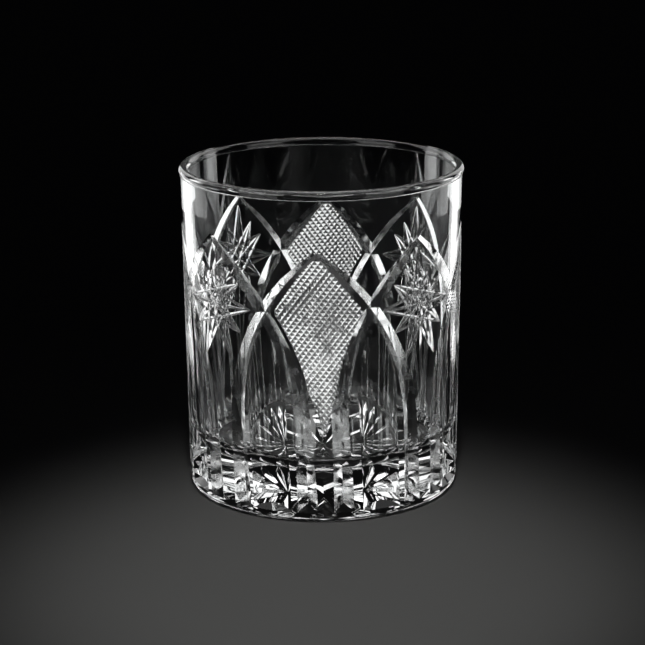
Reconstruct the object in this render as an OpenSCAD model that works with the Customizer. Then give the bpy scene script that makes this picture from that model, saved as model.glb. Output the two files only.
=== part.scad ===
// Cut crystal whiskey tumbler: one piece of clear glass that stands on its flat star cut base.
// Origin: centre of the base on the table plane. +Z is the axis and points to the rim.
// The panel with the hatched diamond that faces -Y is panel 0.

/* [Glass] */
// Outside diameter over the rim bead, mm
rim_d = 82; // [78:0.5:88]
// Overall height, mm
height = 95.5; // [90:0.5:102]
// Outside diameter of the wall just above the heel, mm
base_d = 79.2; // [74:0.2:80]
// Wall thickness just under the rim bead, mm
rim_wall = 2.3; // [2:0.1:3]
// Wall thickness just above the floor, mm
low_wall = 4.1; // [3.6:0.1:5]
// Height of the floor of the bowl above the table, mm
floor_z = 14; // [12:0.5:18]
// Radius between the floor and the wall inside, mm
floor_fillet = 8; // [5:0.5:10]
// Radius of the round heel, mm
heel_r = 2.6; // [2:0.2:3.4]

/* [Rim] */
// Thickness of the fire polished rim bead, mm
bead_t = 2.7; // [2.5:0.1:3.2]

/* [Arch cuts] */
// Height of the point of an arch over a diamond panel, mm
diamond_apex_z = 78; // [74:0.5:82]
// Height of the point of an arch over a star panel, mm
star_apex_z = 80.3; // [76:0.5:84]
// Height at which an arch leg has become upright, mm
spring_z = 24; // [18:1:30]
// Angle between a panel axis and its upright arch leg, degrees
leg_angle = 37.5; // [34:0.5:39]
// Width of the arch cut on the wall, mm
cut_w = 3.7; // [2.8:0.1:3.8]
// Width of the arch cut at the table, mm
foot_cut_w = 5.4; // [4:0.1:5.6]
// Height of the uncut heel at the outside of the wall, mm
foot_z = 3.2; // [2.8:0.1:4]
// Turn of the pattern per mm of height that the hand cutting leaves, degrees
cut_lean = 0.065; // [0:0.005:0.08]
// Turn of the whole pattern about the axis, degrees
pattern_turn = -1.5; // [-5:0.1:5]
// Turn of the star panels from midway between the diamond panels, degrees
star_turn = -1.2; // [-1.5:0.1:1.5]

/* [Hollow flutes] */
// Depth of the hollow flute below each crossing of the arches, mm
flute_depth = 1.4; // [1:0.1:1.6]
// Radius of the hollow across the flute, mm
flute_r = 18; // [16:1:24]
// Height where the flute runs out, mm
flute_top_z = 58; // [54:0.5:59]

/* [Star under the base] */
// Depth of the star rays, mm
ray_depth = 1.8; // [1:0.1:2.4]
// Width of a star ray where it is widest, mm
ray_w = 7; // [5:0.2:8]

/* [Hidden] */
$fn = 96;
rim_r = rim_d / 2;
base_r = base_d / 2;
bead_r = bead_t / 2;
neck_z = height - 2 * bead_r;
neck_r = rim_r - 0.4;
in_top_r = neck_r - rim_wall;
in_low_r = base_r - low_wall;
fillet_z = floor_z + floor_fillet;
panels = 8;
panel_step = 360 / panels;
rays = 16;
ray_in = 2;
ray_mid = 27;
ray_out = 36;
lean_z = 62;
arch_power = 2.4;
flank_angle = 57.5;
leg_steps = 11;
flute_full_z = 42;
run_out_w = 3;
run_out_rise = 1.5;
over = 1.7;

// Outside radius of the wall at height z
function wall_r(z) = base_r + (neck_r - base_r) * z / neck_z;

// Angle from the panel axis to the leg, t runs from the point (0) to the spring (1)
function leg_a(t) = leg_angle * (1 - pow(1 - t, arch_power));

// Half width of the cut: narrow at the point, full on the wall, wider towards the table
function half_w(t) = t < 0.16
    ? 0.25 * cut_w * (1 + t / 0.16)
    : t < 0.5
        ? 0.5 * cut_w
        : 0.5 * cut_w + 0.5 * (foot_cut_w - cut_w) * min(1, (t - 0.5) / 0.8);

// Point on the wall, moved out by d, at angle a from -Y and height z
function on_wall(a, z, d) = [(wall_r(z) + d) * sin(a), -(wall_r(z) + d) * cos(a), z];

// Station values of a leg: t from the point to below the table
function leg_t(i) = i < leg_steps ? pow(i / leg_steps, 1.3) : (i == leg_steps ? 1 : 1.6);

// Three corners of the V section of a leg at station i
function leg_section(i, axis_a, apex_z, side) =
    let (t = leg_t(i))
    let (z = apex_z - t * (apex_z - spring_z))
    let (a = axis_a + cut_lean * (lean_z - max(z, 0)) + side * leg_a(min(t, 1)))
    let (slope = t < 1 ? arch_power * leg_angle * pow(1 - t, arch_power - 1) / (apex_z - spring_z) : 0)
    let (run = slope * PI / 180 * wall_r(z))
    let (len = sqrt(1 + run * run))
    let (w = half_w(t))
    let (deep = w / tan(flank_angle))
    let (da = over * w / len / wall_r(z) * 180 / PI)
    let (dz = over * w * run / len)
    [
        on_wall(a, z, -deep),
        on_wall(a - side * da, z - dz, (over - 1) * deep),
        on_wall(a + side * da, z + dz, (over - 1) * deep)
    ];

// One V cut from the point of an arch down to below the table
module arch_leg(axis_a, apex_z, side) {
    n = leg_steps + 2;
    pts = [for (i = [0 : n - 1]) for (p = leg_section(i, axis_a, apex_z, side)) p];
    walls = [
        for (i = [0 : n - 2]) for (k = [0 : 2]) for (h = [0, 1])
            let (p = 3 * i + k)
            let (q = 3 * i + (k + 1) % 3)
            let (f = h == 0 ? [p, q, q + 3] : [p, q + 3, p + 3])
            side > 0 ? f : [f[2], f[1], f[0]]
    ];
    ends = side > 0
        ? [[2, 1, 0], [3 * n - 3, 3 * n - 2, 3 * n - 1]]
        : [[0, 1, 2], [3 * n - 1, 3 * n - 2, 3 * n - 3]];
    polyhedron(points = pts, faces = concat(walls, ends));
}

// Kite shaped V cut of one ray of the star under the base
module star_ray() {
    low = -0.1;
    k = 1 - low / ray_depth;
    side_w = 0.5 * ray_w * k;
    in_r = ray_mid - (ray_mid - ray_in) * k;
    out_r = ray_mid + (ray_out - ray_mid) * k;
    polyhedron(
        points = [[0, -in_r, low], [side_w, -ray_mid, low], [0, -out_r, low],
            [-side_w, -ray_mid, low], [0, -ray_mid, ray_depth]],
        faces = [[1, 4, 0], [2, 4, 1], [3, 4, 2], [0, 4, 3], [3, 2, 1, 0]]
    );
}

// Round bar that grinds one hollow flute: upright low on the wall, then tilted out to its end
module flute_bar() {
    out_r = wall_r(0) - flute_depth + flute_r;
    top_lean = atan((neck_r - base_r) / neck_z);
    run_out = atan(flute_depth / (flute_top_z - flute_full_z));
    rotate([top_lean, 0, 0])
        translate([0, -out_r, -2]) cylinder(r = flute_r, h = flute_full_z + 2);
    translate([0, -wall_r(flute_full_z) + flute_depth, flute_full_z])
        rotate([top_lean + run_out, 0, 0])
            translate([0, -flute_r, 0]) cylinder(r = flute_r, h = flute_top_z - flute_full_z + 3);
}

// Section of the space that no cut reaches: the heel, and above it the slope where the wheels run out
module uncut_section() {
    top_z = foot_z + run_out_w * run_out_rise;
    polygon([[0, -5], [base_r + 2 * flute_r, -5], [base_r + 2 * flute_r, foot_z], [base_r, foot_z],
        [base_r - run_out_w, top_z], [0, top_z]]);
}

// All cuts in the wall: two legs for each panel and one flute between each pair of panels
module wall_cuts() {
    for (i = [0 : panels - 1]) {
        axis_a = pattern_turn + i * panel_step + (i % 2) * star_turn;
        apex_z = i % 2 == 0 ? diamond_apex_z : star_apex_z;
        arch_leg(axis_a, apex_z, 1);
        arch_leg(axis_a, apex_z, -1);
        rotate([0, 0, axis_a + panel_step / 2 + cut_lean * (lean_z - flute_full_z / 2)])
            flute_bar();
    }
}

// Half section of the blank before it is cut
module blank_section() {
    difference() {
        union() {
            polygon([[0, 0], [base_r - heel_r, 0], [base_r, heel_r], [neck_r, neck_z],
                [rim_r - bead_r, height - bead_r], [0, height - bead_r]]);
            translate([base_r - heel_r, heel_r]) circle(heel_r);
            translate([rim_r - bead_r, height - bead_r]) circle(bead_r);
        }
        polygon([[-1, floor_z], [in_low_r - floor_fillet, floor_z], [in_low_r - floor_fillet, fillet_z],
            [in_low_r, fillet_z], [in_top_r, height - bead_r], [in_top_r, height + 1], [-1, height + 1]]);
        translate([in_low_r - floor_fillet, fillet_z]) circle(floor_fillet);
        translate([-100, -1]) square([100, height + 2]);
    }
}

module tumbler() {
    color([0.93, 0.95, 0.95, 0.4])
    difference() {
        rotate_extrude() blank_section();
        difference() {
            wall_cuts();
            rotate_extrude() uncut_section();
        }
        for (i = [0 : rays - 1])
            rotate([0, 0, i * 360 / rays]) star_ray();
    }
}

tumbler();
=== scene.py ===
import math

import bpy
import numpy as np
from mathutils import Matrix, Vector


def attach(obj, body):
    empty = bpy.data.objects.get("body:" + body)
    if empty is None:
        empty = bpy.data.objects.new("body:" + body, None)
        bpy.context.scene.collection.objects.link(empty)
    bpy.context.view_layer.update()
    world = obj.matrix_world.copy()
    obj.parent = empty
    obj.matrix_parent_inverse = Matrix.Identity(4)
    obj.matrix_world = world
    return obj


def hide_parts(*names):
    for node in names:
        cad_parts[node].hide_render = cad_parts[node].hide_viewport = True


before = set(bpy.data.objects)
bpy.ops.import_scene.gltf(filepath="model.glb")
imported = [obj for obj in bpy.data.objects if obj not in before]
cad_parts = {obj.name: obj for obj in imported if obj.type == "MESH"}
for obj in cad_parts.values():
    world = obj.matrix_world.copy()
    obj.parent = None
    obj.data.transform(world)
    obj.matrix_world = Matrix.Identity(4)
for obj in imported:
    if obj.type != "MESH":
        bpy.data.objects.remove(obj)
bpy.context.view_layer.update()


# ---------------------------------------------------------------------------------------------
# The glass blank. One gather of clear lead crystal is shaped in a mould, with a nearly straight
# wall on a thick solid base, and its lip is melted round in a flame. The whole object is this one
# piece of glass, and the wheel cuts after it only take glass away. Shapes are worked out in mm.

MM = 0.001
RIM_R = 41.0
HEIGHT = 95.5
BASE_R = 39.6
LOW_WALL = 4.1
IN_LOW_R = BASE_R - LOW_WALL
BEAD_R = 1.35
BEAD_START_DEG = -65
BEAD_END_DEG = 190
NECK_R = 40.6
NECK_Z = HEIGHT - 2 * BEAD_R
NECK_LIFT = 0.12
HEEL_R = 2.6
FLOOR_Z = 14.0
FILLET_R = 8.0
UNDER_RINGS = np.array([1.0, 12.0, 24.0, 33.0])
FLOOR_RINGS = np.array([18.0, 8.0, 1.0])
AROUND = 288


def wall_r(z):
    """Outside radius of the wall at height z: a straight line from the heel to the neck."""
    return BASE_R + (NECK_R - BASE_R) * z / NECK_Z


def arc(centre, radius, start, end, steps):
    """Points on a circle arc: centre plus radius times cos and sin of the angle in degrees."""
    a = np.radians(np.linspace(start, end, steps))
    return np.stack([centre[0] + radius * np.cos(a), centre[1] + radius * np.sin(a)], 1)


def level(radii, z):
    """Points at one height, one for each radius."""
    return np.stack([radii, np.full(len(radii), z)], 1)


def blank_profile():
    """Half section from the centre of the underside, out, up, over the lip and down to the floor."""
    heel = arc((BASE_R - HEEL_R, HEEL_R), HEEL_R, -90, 0, 9)
    neck = level([NECK_R], NECK_Z + NECK_LIFT)
    bead = arc((RIM_R - BEAD_R, HEIGHT - BEAD_R), BEAD_R, BEAD_START_DEG, BEAD_END_DEG, 26)
    fillet = arc((IN_LOW_R - FILLET_R, FLOOR_Z + FILLET_R), FILLET_R, 0, -90, 17)
    return np.concatenate([level(UNDER_RINGS, 0.0), heel, neck, bead, fillet, level(FLOOR_RINGS, FLOOR_Z)])


def turned(profile, around):
    """Surface of revolution: every profile point turned about Z, with a fan at each pole."""
    n = len(profile)
    a = np.linspace(0, 2 * np.pi, around, endpoint=False)
    r, z = profile[:, 0], profile[:, 1]
    ring = np.stack([np.outer(np.sin(a), r), -np.outer(np.cos(a), r), np.tile(z, (around, 1))], -1)
    poles = np.array([[0, 0, z[0]], [0, 0, z[-1]]])
    verts = np.concatenate([ring.reshape(-1, 3), poles])
    i, j = np.meshgrid(np.arange(around), np.arange(n - 1), indexing="ij")
    k = (i + 1) % around
    quads = np.stack([i * n + j, k * n + j, k * n + j + 1, i * n + j + 1], -1).reshape(-1, 4)
    s = np.arange(around)
    t = (s + 1) % around
    low = np.stack([np.full(around, around * n), t * n, s * n], -1)
    high = np.stack([np.full(around, around * n + 1), s * n + n - 1, t * n + n - 1], -1)
    return verts, [quads, low, high]


def inside_volume(verts, face_groups):
    """Sum over fan triangles of the signed volume to the origin: negative if faces point inwards."""
    total = 0.0
    for group in face_groups:
        p = verts[group]
        for k in range(1, group.shape[1] - 1):
            total += np.einsum("ij,ij->i", p[:, 0], np.cross(p[:, k], p[:, k + 1])).sum() / 6
    return total


def mesh_piece(name, finish, verts, face_groups):
    """Blender object from points in mm and groups of faces that have the same corner count."""
    if inside_volume(verts, face_groups) < 0:
        face_groups = [group[:, ::-1] for group in face_groups]
    mesh = bpy.data.meshes.new(name)
    faces = sum((group.tolist() for group in face_groups), [])
    mesh.from_pydata((verts * MM).tolist(), [], faces)
    mesh.validate()
    mesh.materials.append(finish)
    obj = bpy.data.objects.new(name, mesh)
    bpy.context.scene.collection.objects.link(obj)
    return obj


def linear(colour):
    """sRGB hex to linear RGBA: c / 12.92 when dark, or (c + 0.055) / 1.055 to the power 2.4."""
    c = np.array([int(colour[i:i + 2], 16) for i in (1, 3, 5)]) / 255
    rgb = np.where(c > 0.04045, ((c + 0.055) / 1.055) ** 2.4, c / 12.92)
    return (*rgb.tolist(), 1.0)


def add_node(tree, kind, settings, links):
    """Adds one node: settings give input values by name, links the output that feeds an input."""
    node = tree.nodes.new(kind)
    for socket, value in settings.items():
        node.inputs[socket].default_value = value
    for socket, source in links.items():
        tree.links.new(source, node.inputs[socket])
    return node


CRYSTAL_TINT = "#FDFEFE"
CRYSTAL_IOR = 1.545
PATCH_LOW = 0.4
PATCH_HIGH = 0.62


def crystal(name, clear, roughness, patch_mm, grain_mm, ripple_mm):
    """Lead crystal: patches of patch_mm set how far each spot was polished, between two
    roughnesses, and ripples of grain_mm, ripple_mm deep, are what the tool left. The share of
    light that isn't clear is scattered white by the ground surface."""
    mat = bpy.data.materials.new(name)
    mat.use_nodes = True
    tree = mat.node_tree
    tree.nodes.clear()
    place = add_node(tree, "ShaderNodeTexCoord", {}, {}).outputs["Object"]
    patches = add_node(
        tree, "ShaderNodeTexNoise",
        {"Scale": 1 / (patch_mm * MM), "Detail": 3}, {"Vector": place})
    polish = add_node(
        tree, "ShaderNodeMapRange",
        {"From Min": PATCH_LOW, "From Max": PATCH_HIGH, "To Min": roughness[0], "To Max": roughness[1]},
        {"Value": patches.outputs["Fac"]})
    grain = add_node(
        tree, "ShaderNodeTexNoise",
        {"Scale": 1 / (grain_mm * MM), "Detail": 2}, {"Vector": place})
    relief = add_node(
        tree, "ShaderNodeBump",
        {"Strength": 1.0, "Distance": ripple_mm * MM}, {"Height": grain.outputs["Fac"]})
    shader = add_node(
        tree, "ShaderNodeBsdfPrincipled",
        {"Base Color": linear(CRYSTAL_TINT), "IOR": CRYSTAL_IOR, "Transmission Weight": clear},
        {"Roughness": polish.outputs["Result"], "Normal": relief.outputs["Normal"]})
    add_node(tree, "ShaderNodeOutputMaterial", {}, {"Surface": shader.outputs["BSDF"]})
    return mat


# Lead crystal, fire polished: the flame melts the skin to a mirror. Long soft waves, 9 mm apart
# and 4 microns deep, bend the reflections a little.
skin_finish = crystal("crystal_fire_polished", 1.0, (0.0, 0.01), 14.0, 9.0, 0.004)
profile = blank_profile()
glass = mesh_piece("tumbler_glass", skin_finish, *turned(profile, AROUND))


# ---------------------------------------------------------------------------------------------
# The gothic arches. A mitre wheel grinds a V groove down each leg of eight crossing arches. The
# legs start fine at the point, widen towards the table and run out on a slope above the heel.

PATTERN_TURN = -1.5
PANEL_STEP = 45
STAR_TURN = -1.2
DIAMOND_AXES = np.arange(4)[:, None] * 2 * PANEL_STEP
STAR_AXES = DIAMOND_AXES + (PANEL_STEP + STAR_TURN)
LEAN = 0.065
LEAN_Z = 62.0
LEG_ANGLE = 37.5
SPRING_Z = 24.0
DIAMOND_APEX_Z = 78.0
STAR_APEX_Z = 80.3
ARCH_POWER = 2.4
LEG_STATIONS = np.concatenate([np.linspace(0, 1, 34) ** 1.2, [1.15, 1.3, 1.6]])
CUT_W = 3.7
FOOT_W = 5.4
POINT_END_T = 0.16
FOOT_START_T = 0.5
FOOT_RUN_T = 0.8
FLANK = math.tan(math.radians(57.5))
OVER = 1.7
FOOT_Z = 3.2
RUN_OUT_W = 3.0
RUN_OUT_RISE = 1.5
BEYOND = 40.0

# Lead crystal, mitre cut and buffed by hand: bright in some places and grey where the buff
# missed, so the grooves glint in patches. The 0.3 mm grain is coarser than the real grit marks,
# which are too fine to show.
arch_finish = crystal("crystal_arch_cut", 0.985, (0.0, 0.28), 3.0, 0.3, 0.004)


def on_wall(turn, z, out):
    """Point on the wall moved out by a distance: angle from -Y in degrees, height z."""
    a = np.radians(turn)
    r = wall_r(z) + out
    return np.stack([r * np.sin(a), -r * np.cos(a), z + 0 * r], -1)


def leaned(turn, z):
    """Angle with the pattern's own turn, plus the small twist per mm that hand cutting leaves."""
    return PATTERN_TURN + turn + LEAN * (LEAN_Z - np.maximum(z, 0))


def bars(rings):
    """Closed bars from rings[bar, station, corner]: walls between stations and a cap at each end."""
    b, n, m = rings.shape[:3]
    verts = rings.reshape(-1, 3)
    bar, i, j = np.meshgrid(np.arange(b), np.arange(n - 1), np.arange(m), indexing="ij")
    near = bar * n * m + i * m
    far = near + m
    k = (j + 1) % m
    walls = np.stack([near + j, near + k, far + k, far + j], -1)
    first = (np.arange(b) * n * m)[:, None] + np.arange(m)[::-1]
    last = (np.arange(b) * n * m + (n - 1) * m)[:, None] + np.arange(m)
    return verts, [walls.reshape(-1, 4), first, last]


def v_bars(turn, z, half_w, flank):
    """V bars along lines on the wall, arrays [line, station]: the valley lies half_w / flank under
    the line, and the two edges lie beside it, square to it and clear of the wall."""
    arc_len = wall_r(z) * np.radians(turn)
    du = np.gradient(arc_len, axis=1)
    dz = np.gradient(z, axis=1)
    size = np.hypot(du, dz)
    deep = half_w / flank
    across_t = np.degrees(OVER * half_w * dz / size / wall_r(z))
    across_z = -OVER * half_w * du / size
    valley = on_wall(turn, z, -deep)
    one = on_wall(turn + across_t, z + across_z, (OVER - 1) * deep)
    two = on_wall(turn - across_t, z - across_z, (OVER - 1) * deep)
    return bars(np.stack([valley, one, two], 2))


def boolean(obj, tool, operation):
    """Cuts obj with tool, keeps the result as obj's mesh and removes the tool."""
    mod = obj.modifiers.new("cut", "BOOLEAN")
    mod.operation = operation
    mod.solver = "MANIFOLD"
    mod.object = tool
    mod.material_mode = "TRANSFER"
    bpy.context.view_layer.update()
    result = bpy.data.meshes.new_from_object(obj.evaluated_get(bpy.context.evaluated_depsgraph_get()))
    obj.modifiers.clear()
    obj.data = result
    bpy.data.objects.remove(tool)


def stop_above_heel(tool, finish):
    """Takes from a cutter the space that no wheel reaches: the heel and the slope of the run out."""
    top = FOOT_Z + RUN_OUT_W * RUN_OUT_RISE
    wide = BASE_R + BEYOND
    section = np.array([
        [1, -10], [wide, -10], [wide, FOOT_Z], [BASE_R, FOOT_Z], [BASE_R - RUN_OUT_W, top], [1, top]])
    boolean(tool, mesh_piece("uncut", finish, *turned(section, AROUND)), "DIFFERENCE")
    return tool


def leg_turn(t):
    """Angle from the panel axis to the arch leg: LEG_ANGLE times 1 - (1 - t) to a power, where t
    runs from 0 at the point to 1 at the spring."""
    return LEG_ANGLE * (1 - (1 - t) ** ARCH_POWER)


def leg_half_w(t):
    """Half width of a leg: a quarter of the cut at the point, half of it on the wall, more below."""
    start = 0.25 * CUT_W * (1 + np.minimum(t, POINT_END_T) / POINT_END_T)
    foot = 0.5 * (FOOT_W - CUT_W) * np.clip((t - FOOT_START_T) / FOOT_RUN_T, 0, 1)
    return start + foot


def cut_legs(axes, apex_z, side):
    """One leg of every second arch, from its point down to below the table."""
    t = LEG_STATIONS
    z = apex_z - t * (apex_z - SPRING_Z)
    turn = leaned(axes + side * leg_turn(np.minimum(t, 1)), z)
    z = np.broadcast_to(z, turn.shape)
    half_w = np.broadcast_to(leg_half_w(t), turn.shape)
    legs = mesh_piece("legs", arch_finish, *v_bars(turn, z, half_w, FLANK))
    boolean(glass, stop_above_heel(legs, arch_finish), "DIFFERENCE")


for side in (1, -1):
    cut_legs(DIAMOND_AXES, DIAMOND_APEX_Z, side)
    cut_legs(STAR_AXES, STAR_APEX_Z, side)


# ---------------------------------------------------------------------------------------------
# The hollow flutes. A wide wheel with a round edge grinds one shallow hollow down the wall under
# each of the eight crossings of the arches.

FLUTE_DEPTH = 1.4
FLUTE_R = 18.0
FLUTE_TOP_Z = 58.0
FLUTE_FULL_Z = 42.0
FLUTE_EASE = 0.25
FLUTE_LOW_STATIONS = [-2.0, 10, 20, 30]
FLUTE_BEND_STATIONS = np.linspace(38, 46, 9)
FLUTE_HIGH_STATIONS = [50, 54, FLUTE_TOP_Z, FLUTE_TOP_Z + 3]
FLUTE_HALF_ARC = 62
FLUTE_ARC_STEPS = 63
BAR_BACK = np.array([[14.0, -60.0], [-14.0, -60.0]])

# Lead crystal, hollow cut and polished clear: bright, with a faint haze in places.
flute_finish = crystal("crystal_hollow_cut", 1.0, (0.0, 0.03), 6.0, 3.0, 0.002)


def flute_bars():
    """Round bars beside the wall. Their depth is full up to the full height, and falls on a line
    to nothing at the top; a square law eases one into the other."""
    z = np.concatenate([FLUTE_LOW_STATIONS, FLUTE_BEND_STATIONS, FLUTE_HIGH_STATIONS])
    fall = (z - FLUTE_FULL_Z) / (FLUTE_TOP_Z - FLUTE_FULL_Z)
    eased = np.clip(fall + FLUTE_EASE, 0, 1) ** 2
    deep = FLUTE_DEPTH * (1 - np.where(fall > FLUTE_EASE, fall, eased))
    a = np.radians(np.linspace(-FLUTE_HALF_ARC, FLUTE_HALF_ARC, FLUTE_ARC_STEPS))
    y = -(wall_r(z) - deep + FLUTE_R)[:, None] + FLUTE_R * np.cos(a)[None]
    x = np.broadcast_to(FLUTE_R * np.sin(a)[None], y.shape)
    x = np.concatenate([x, np.broadcast_to(BAR_BACK[:, 0], (len(z), 2))], 1)
    y = np.concatenate([y, np.broadcast_to(BAR_BACK[:, 1], (len(z), 2))], 1)
    panel = np.arange(8)
    axes = panel * PANEL_STEP + (panel % 2) * STAR_TURN + PANEL_STEP / 2
    turn = np.radians(leaned(axes[:, None], z))[:, :, None]
    across = x * np.cos(turn) - y * np.sin(turn)
    along = x * np.sin(turn) + y * np.cos(turn)
    return bars(np.stack([across, along, np.broadcast_to(z[None, :, None], across.shape)], -1))


flutes = mesh_piece("flutes", flute_finish, *flute_bars())
boolean(glass, stop_above_heel(flutes, flute_finish), "DIFFERENCE")


# ---------------------------------------------------------------------------------------------
# The twelve point stars. On every second panel a thin mitre wheel joins each of twelve points to
# the one straight across the star and to that one's neighbours, eighteen cuts in all.

# Angle from the panel axis in degrees and height in mm, clockwise from the top point.
STAR_POINTS = np.array([
    [0, 78.0], [7.2, 72.2], [12.5, 68.0], [18.0, 61.2], [12.6, 54.4], [8.0, 46.0],
    [0, 27.0], [-8.0, 46.0], [-12.6, 54.4], [-18.0, 61.2], [-12.5, 68.0], [-7.2, 72.2]])
RAY_HALF_W = 0.52
RAY_END_SHARE = 0.5
RAY_POWER = 0.4
RAY_FLANK = math.tan(math.radians(52))

# Lead crystal, cut with a fine wheel and left as ground: satin that scatters some of the light.
star_finish = crystal("crystal_star_cut", 0.84, (0.08, 0.20), 2.0, 0.3, 0.003)


def cut_star_ray(p, q):
    """The same straight cut on all four stars. Its half width is an end share plus the rest times
    4 s (1 - s) to a power, so it is full in the middle and fine at both ends."""
    s = np.linspace(0, 1, 15)
    line = STAR_POINTS[p] + s[:, None] * (STAR_POINTS[q] - STAR_POINTS[p])
    turn = leaned(STAR_AXES + line[:, 0], line[:, 1])
    z = np.broadcast_to(line[:, 1], turn.shape)
    swell = (4 * s * (1 - s)) ** RAY_POWER
    half_w = RAY_HALF_W * (RAY_END_SHARE + (1 - RAY_END_SHARE) * swell)
    ray = v_bars(turn, z, np.broadcast_to(half_w, turn.shape), RAY_FLANK)
    boolean(glass, mesh_piece("ray", star_finish, *ray), "DIFFERENCE")


for p in range(12):
    cut_star_ray(p, (p + 5) % 12)
for p in range(6):
    cut_star_ray(p, p + 6)


# ---------------------------------------------------------------------------------------------
# The hatched diamonds. On the other four panels a fine V wheel cuts two crossing sets of close
# lines, which leave rows of small four sided points inside the arches.

PANEL_TOP_Z = 76.3
PANEL_SIDE_Z = 62.2
PANEL_TIP_Z = 26.5
PANEL_TOP_TURN = 2.4
PANEL_SIDE_TURN = 17.4
PANEL_GAP_TURN = 3.4
PANEL_TIP_RUN = 12
PANEL_TIP_POWER = 0.8
PANEL_IN = 1.2
PANEL_OUT = 3.6
HATCH_PITCH = (1.23, 1.386)
HATCH_SLOPE = 51.0
HATCH_FLANK = math.tan(math.radians(52.5))
HATCH_LAND = 0.05
UNROLL_R = 40.0
COMB_ALONG = 22.0
COMB_ACROSS = 18.5
COMB_TOP = 1.6

# Lead crystal, line cut and left as ground: each tiny face is an even satin that sparkles.
hatch_finish = crystal("crystal_hatch_cut", 0.86, (0.04, 0.12), 2.0, 0.3, 0.002)


def panel_outline():
    """Kite on the unrolled wall: straight upper edges, lower edges beside the legs of the arches
    that close on the tip as a power of the height above it."""
    z = np.linspace(PANEL_SIDE_Z, PANEL_TIP_Z, 22)[1:]
    t = (STAR_APEX_Z - z) / (STAR_APEX_Z - SPRING_Z)
    beside = PANEL_STEP - leg_turn(np.minimum(t, 1)) - PANEL_GAP_TURN
    low = beside * np.clip((z - PANEL_TIP_Z) / PANEL_TIP_RUN, 0, 1) ** PANEL_TIP_POWER
    upper = [[PANEL_TOP_TURN, PANEL_TOP_Z], [PANEL_SIDE_TURN, PANEL_SIDE_Z]]
    right = np.concatenate([upper, np.stack([low, z], 1)])
    left = right[-2::-1] * [-1, 1]
    return np.concatenate([right, left])


def panel_prism():
    """The four kites as blocks that stand through the wall's surface."""
    kite = panel_outline()
    turn = leaned(DIAMOND_AXES + kite[:, 0], kite[:, 1])
    z = np.broadcast_to(kite[:, 1], turn.shape)
    rings = np.stack([on_wall(turn, z, -PANEL_IN), on_wall(turn, z, PANEL_OUT)], 1)
    return mesh_piece("panel", hatch_finish, *bars(rings))


def slabs(low, high):
    """Closed slabs between two grids of points [slab, row, column]."""
    b, n, m = low.shape[:3]
    verts = np.concatenate([low.reshape(-1, 3), high.reshape(-1, 3)])
    top = b * n * m
    index = np.arange(top).reshape(b, n, m)
    a, c, d, e = index[:, :-1, :-1], index[:, 1:, :-1], index[:, 1:, 1:], index[:, :-1, 1:]
    under = np.stack([a, c, d, e], -1).reshape(-1, 4)
    upper = np.stack([e, d, c, a], -1).reshape(-1, 4) + top
    sides = []
    for edge in (index[:, 0, :], index[:, -1, ::-1], index[:, ::-1, 0], index[:, :, -1]):
        g, h = edge[:, :-1], edge[:, 1:]
        sides.append(np.stack([g, h, h + top, g + top], -1).reshape(-1, 4))
    return verts, [under, upper] + sides


def comb(pitch, direction):
    """A slab over each panel with a zigzag underside: its ridges are the cuts of one direction.
    Steps of half a pitch across the lines go up to the land and down by half a pitch / flank."""
    slope = math.radians(HATCH_SLOPE) * direction
    along = np.array([math.cos(slope), math.sin(slope)])
    across = np.array([-math.sin(slope), math.cos(slope)])
    count = math.ceil(COMB_ACROSS / (0.5 * pitch))
    steps = np.arange(-count, count + 1)
    q = steps * pitch / 2
    s = np.linspace(-COMB_ALONG, COMB_ALONG, 23)
    mid = np.array([0, 0.5 * (PANEL_TOP_Z + PANEL_TIP_Z)])
    flat = mid + s[:, None, None] * along + q[None, :, None] * across
    rise = 0.5 * pitch / HATCH_FLANK
    under = np.where(steps % 2 == 0, HATCH_LAND, HATCH_LAND - rise)
    turn = leaned(DIAMOND_AXES[:, :, None] + np.degrees(flat[..., 0] / UNROLL_R), flat[..., 1])
    z = np.broadcast_to(flat[..., 1], turn.shape)
    low = on_wall(turn, z, np.broadcast_to(under, turn.shape))
    high = on_wall(turn, z, np.full(turn.shape, COMB_TOP))
    return slabs(low, high)


for pitch, direction in zip(HATCH_PITCH, (-1, 1)):
    tool = mesh_piece("comb", hatch_finish, *comb(pitch, direction))
    boolean(tool, panel_prism(), "INTERSECT")
    boolean(glass, tool, "DIFFERENCE")


# ---------------------------------------------------------------------------------------------
# The star under the base. Sixteen broad mitre cuts in the flat underside, each a kite that is
# deepest near its outer end, catch the light through the thick base.

BASE_RAYS = 16
BASE_RAY_IN = 2.0
BASE_RAY_MID = 27.0
BASE_RAY_OUT = 36.0
BASE_RAY_DEPTH = 1.8
BASE_RAY_W = 7.0
BELOW_BASE = 0.1

# Lead crystal, mitre cut and acid polished: nearly clear, with slight ripples 1 mm long.
base_finish = crystal("crystal_base_cut", 1.0, (0.0, 0.04), 3.0, 1.0, 0.002)


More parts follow.
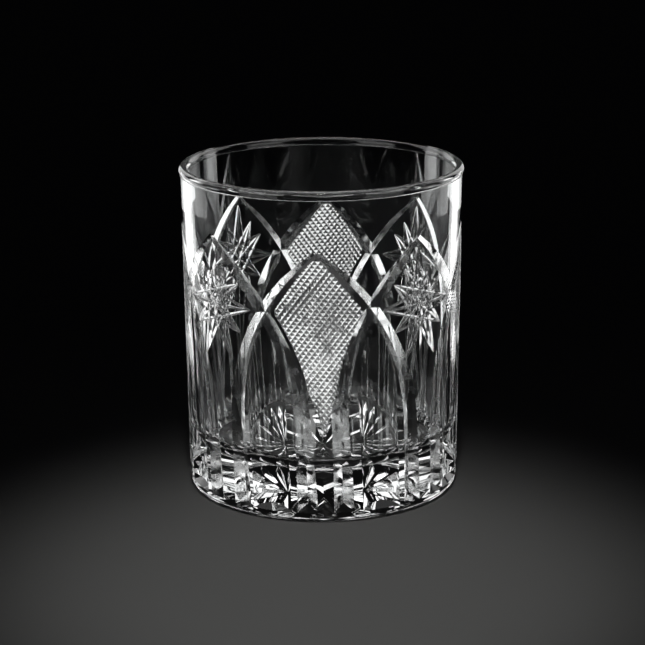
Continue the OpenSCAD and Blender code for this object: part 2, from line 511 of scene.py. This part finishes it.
def base_rays():
    """Each ray is a shallow pyramid on a kite, its top above the kite's widest place. The kite is
    drawn a little below the base, and larger by the same share as the pyramid is taller."""
    k = 1 + BELOW_BASE / BASE_RAY_DEPTH
    near = BASE_RAY_MID - (BASE_RAY_MID - BASE_RAY_IN) * k
    far = BASE_RAY_MID + (BASE_RAY_OUT - BASE_RAY_MID) * k
    half = 0.5 * BASE_RAY_W * k
    kite = np.array([
        [0, near, -BELOW_BASE], [half, BASE_RAY_MID, -BELOW_BASE],
        [0, far, -BELOW_BASE], [-half, BASE_RAY_MID, -BELOW_BASE],
        [0, BASE_RAY_MID, BASE_RAY_DEPTH]])
    a = np.arange(BASE_RAYS) * 2 * np.pi / BASE_RAYS
    x = np.outer(np.cos(a), kite[:, 0]) + np.outer(np.sin(a), kite[:, 1])
    y = np.outer(np.sin(a), kite[:, 0]) - np.outer(np.cos(a), kite[:, 1])
    verts = np.stack([x, y, np.tile(kite[:, 2], (BASE_RAYS, 1))], -1).reshape(-1, 3)
    first = np.arange(BASE_RAYS)[:, None] * 5
    tris = np.array([[1, 4, 0], [2, 4, 1], [3, 4, 2], [0, 4, 3]])
    sides = (first[:, :, None] + tris[None]).reshape(-1, 3)
    return verts, [sides, first + np.array([[3, 2, 1, 0]])]


boolean(glass, mesh_piece("base_rays", base_finish, *base_rays()), "DIFFERENCE")


# ---------------------------------------------------------------------------------------------
# The shading of the finished glass. The melted skin of the blank curves smoothly round the lip and
# the heel, and ends in a crisp edge wherever a wheel has cut through it.

SHARP_EDGE = math.radians(22)
SMOOTH_TURN = math.radians(32)
SKIN_TOL = 0.006


def profile_frame():
    """For each profile segment: start, direction, length and the smooth normals at its two ends,
    which are the mean of two segments' normals where the profile turns only a little."""
    pts = np.concatenate([[[0, 0]], profile, [[0, FLOOR_Z]]])
    d = np.diff(pts, axis=0)
    length = np.linalg.norm(d, axis=1)
    n = np.stack([d[:, 1], -d[:, 0]], 1) / length[:, None]
    blend = (n[1:] * n[:-1]).sum(1) > math.cos(SMOOTH_TURN)
    mean = n[1:] + n[:-1]
    mean /= np.linalg.norm(mean, axis=1)[:, None]
    start_n, end_n = n.copy(), n.copy()
    start_n[1:][blend] = mean[blend]
    end_n[:-1][blend] = mean[blend]
    return pts[:-1], d, length, start_n, end_n


def nearest_segment(points, start, d, length):
    """Index of the nearest profile segment to each point (radius, height), and the gap to it."""
    p = points[:, None] - start[None]
    s = np.clip((p * d[None]).sum(2) / length[None] ** 2, 0, 1)
    gap = np.linalg.norm(p - s[..., None] * d[None], axis=2)
    best = gap.argmin(1)
    return best, gap[np.arange(len(points)), best]


def read_floats(items, field):
    """One three part field of every mesh item, as an array of rows."""
    values = np.zeros(len(items) * 3)
    items.foreach_get(field, values)
    return values.reshape(-1, 3)


def read_ints(items, field):
    """One whole number field of every mesh item."""
    values = np.zeros(len(items), np.int32)
    items.foreach_get(field, values)
    return values


def smooth_skin(mesh):
    """Faces whose centre lies on the blank's profile take its normals, mixed along each segment
    from end to end and turned about Z. The faces of the cuts keep the mesh's own."""
    start, d, length, start_n, end_n = profile_frame()
    centre = read_floats(mesh.polygons, "center") / MM
    centre_rz = np.stack([np.hypot(centre[:, 0], centre[:, 1]), centre[:, 2]], 1)
    segment, gap = nearest_segment(centre_rz, start, d, length)
    face = np.repeat(np.arange(len(mesh.polygons)), read_ints(mesh.polygons, "loop_total"))
    seg = segment[face]
    co = read_floats(mesh.vertices, "co")[read_ints(mesh.loops, "vertex_index")] / MM
    rz = np.stack([np.hypot(co[:, 0], co[:, 1]), co[:, 2]], 1)
    s = np.clip(((rz - start[seg]) * d[seg]).sum(1) / length[seg] ** 2, 0, 1)[:, None]
    n2 = start_n[seg] * (1 - s) + end_n[seg] * s
    n2 /= np.linalg.norm(n2, axis=1)[:, None]
    radial = co[:, :2] / np.maximum(rz[:, :1], 1e-6)
    turned_n = np.concatenate([radial * n2[:, :1], n2[:, 1:]], 1)
    is_skin = (gap < SKIN_TOL)[face]
    normal = read_floats(mesh.corner_normals, "vector")
    normal[is_skin] = turned_n[is_skin]
    mesh.normals_split_custom_set(normal.tolist())


glass.data.shade_smooth()
glass.data.set_sharp_from_angle(angle=SHARP_EDGE)
smooth_skin(glass.data)
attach(glass, "root")
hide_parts("tumbler")


# ---------------------------------------------------------------------------------------------
# The floor. One large flat sheet of pale matt paper lies under the glass. Sizes of the floor, the
# lights and the camera are in metres.

FLOOR_HALF = 4.0
PAPER = "#B3B3B1"


def floor_piece():
    """A square in the table plane with four corners at plus and minus its half side."""
    mesh = bpy.data.meshes.new("floor")
    corners = np.array([[-1, -1, 0], [1, -1, 0], [1, 1, 0], [-1, 1, 0]]) * FLOOR_HALF
    mesh.from_pydata(corners.tolist(), [], [(0, 1, 2, 3)])
    obj = bpy.data.objects.new("floor", mesh)
    bpy.context.scene.collection.objects.link(obj)
    mat = bpy.data.materials.new("floor_paper")
    mat.use_nodes = True
    tree = mat.node_tree
    tree.nodes.clear()
    shader = add_node(
        tree, "ShaderNodeBsdfPrincipled", {"Base Color": linear(PAPER), "Roughness": 0.7}, {})
    add_node(tree, "ShaderNodeOutputMaterial", {}, {"Surface": shader.outputs["BSDF"]})
    mesh.materials.append(mat)


floor_piece()


# ---------------------------------------------------------------------------------------------
# The studio. Soft boxes beside and behind the glass light every cut edge in it, and are linked to
# the glass alone. One dim lamp lays a soft pool of light on the floor, and the rest is dark.

DARK = "#050506"
BOX_AIM = Vector((0, 0, 0.05))

# Name, azimuth and elevation in degrees, distance, width and height, watts.
SOFT_BOXES = [
    ("back_left", -149, 15, 0.5, 0.22, 0.60, 0.60),
    ("back_right", 149, 15, 0.5, 0.22, 0.60, 0.56),
    ("side_left", -116, 15, 0.5, 0.18, 0.60, 0.50),
    ("side_right", 116, 15, 0.5, 0.16, 0.60, 0.40),
    ("fill_left", -52, 30, 0.5, 0.30, 0.40, 0.32),
    ("fill_right", 52, 30, 0.5, 0.30, 0.40, 0.26),
    ("overhead", 0, 89, 0.5, 0.50, 0.50, 0.9),
    ("high_back", 180, 60, 0.5, 0.60, 0.16, 0.45),
    ("card_left", -128, 4, 0.17, 0.06, 0.10, 0.034),
    ("card_right", 128, 4, 0.17, 0.05, 0.10, 0.026),
]

world = bpy.data.worlds.new("studio")
world.use_nodes = True
world.node_tree.nodes["Background"].inputs["Color"].default_value = linear(DARK)
bpy.context.scene.world = world

glass_only = bpy.data.collections.new("glass_only")
glass_only.objects.link(glass)
# The glass throws no bright spots onto the floor.
glass.visible_diffuse = False


def facing(place, target):
    """The turn that points an object's -Z axis from its place to a target, with its Y axis up."""
    return (target - place).to_track_quat("-Z", "Y")


def soft_box(name, azimuth, elevation, distance, width, height, watts):
    """Soft box that faces the glass and lights it alone: azimuth 0 is the -Y side, 90 is +X."""
    a, e = math.radians(azimuth), math.radians(elevation)
    away = Vector((math.sin(a) * math.cos(e), -math.cos(a) * math.cos(e), math.sin(e)))
    place = BOX_AIM + distance * away
    data = bpy.data.lights.new(name, "AREA")
    data.shape = "RECTANGLE"
    data.size = width
    data.size_y = height
    data.energy = watts
    obj = bpy.data.objects.new(name, data)
    obj.location = place
    obj.rotation_euler = facing(place, BOX_AIM).to_euler()
    obj.visible_camera = False
    bpy.context.scene.collection.objects.link(obj)
    obj.light_linking.receiver_collection = glass_only


def floor_lamp():
    """Spot lamp above the front of the glass, aimed at the floor just before it."""
    place = Vector((0, -0.36, 0.60))
    data = bpy.data.lights.new("pool", "SPOT")
    data.energy = 2.4
    data.spot_size = math.radians(19)
    data.spot_blend = 0.8
    data.shadow_soft_size = 0.03
    obj = bpy.data.objects.new("pool", data)
    obj.location = place
    obj.rotation_euler = facing(place, Vector((0, -0.085, 0))).to_euler()
    bpy.context.scene.collection.objects.link(obj)


for box in SOFT_BOXES:
    soft_box(*box)
floor_lamp()


# ---------------------------------------------------------------------------------------------
# The camera. A long lens a little above the rim, level but for a slight roll. Light is followed
# through many faces, because it passes the cut wall several times.

CAMERA_DISTANCE = 0.5928
CAMERA_ELEVATION = math.radians(15.833)
CAMERA_ROLL = math.radians(0.432)
CAMERA_AIM = Vector((0, 0, 0.0479))
SENSOR_MM = 36.0
LENS_MM = 112.6828
SHIFT = (0.0001845, -0.0011457)


def camera_piece():
    """Camera at a distance from its aim, up by its elevation on the -Y side, rolled about its view."""
    data = bpy.data.cameras.new("camera")
    data.sensor_width = SENSOR_MM
    data.lens = LENS_MM
    data.shift_x, data.shift_y = SHIFT
    data.clip_start = 0.01
    obj = bpy.data.objects.new("camera", data)
    away = Vector((0, -math.cos(CAMERA_ELEVATION), math.sin(CAMERA_ELEVATION)))
    place = CAMERA_AIM + away * CAMERA_DISTANCE
    look = facing(place, CAMERA_AIM).to_matrix() @ Matrix.Rotation(-CAMERA_ROLL, 3, "Z")
    obj.matrix_world = Matrix.Translation(place) @ look.to_4x4()
    bpy.context.scene.collection.objects.link(obj)
    bpy.context.scene.camera = obj


camera_piece()
cycles = bpy.context.scene.cycles
cycles.max_bounces = 24
cycles.transmission_bounces = 24
cycles.glossy_bounces = 12
cycles.sample_clamp_indirect = 6
bpy.context.scene.view_settings.view_transform = "Standard"
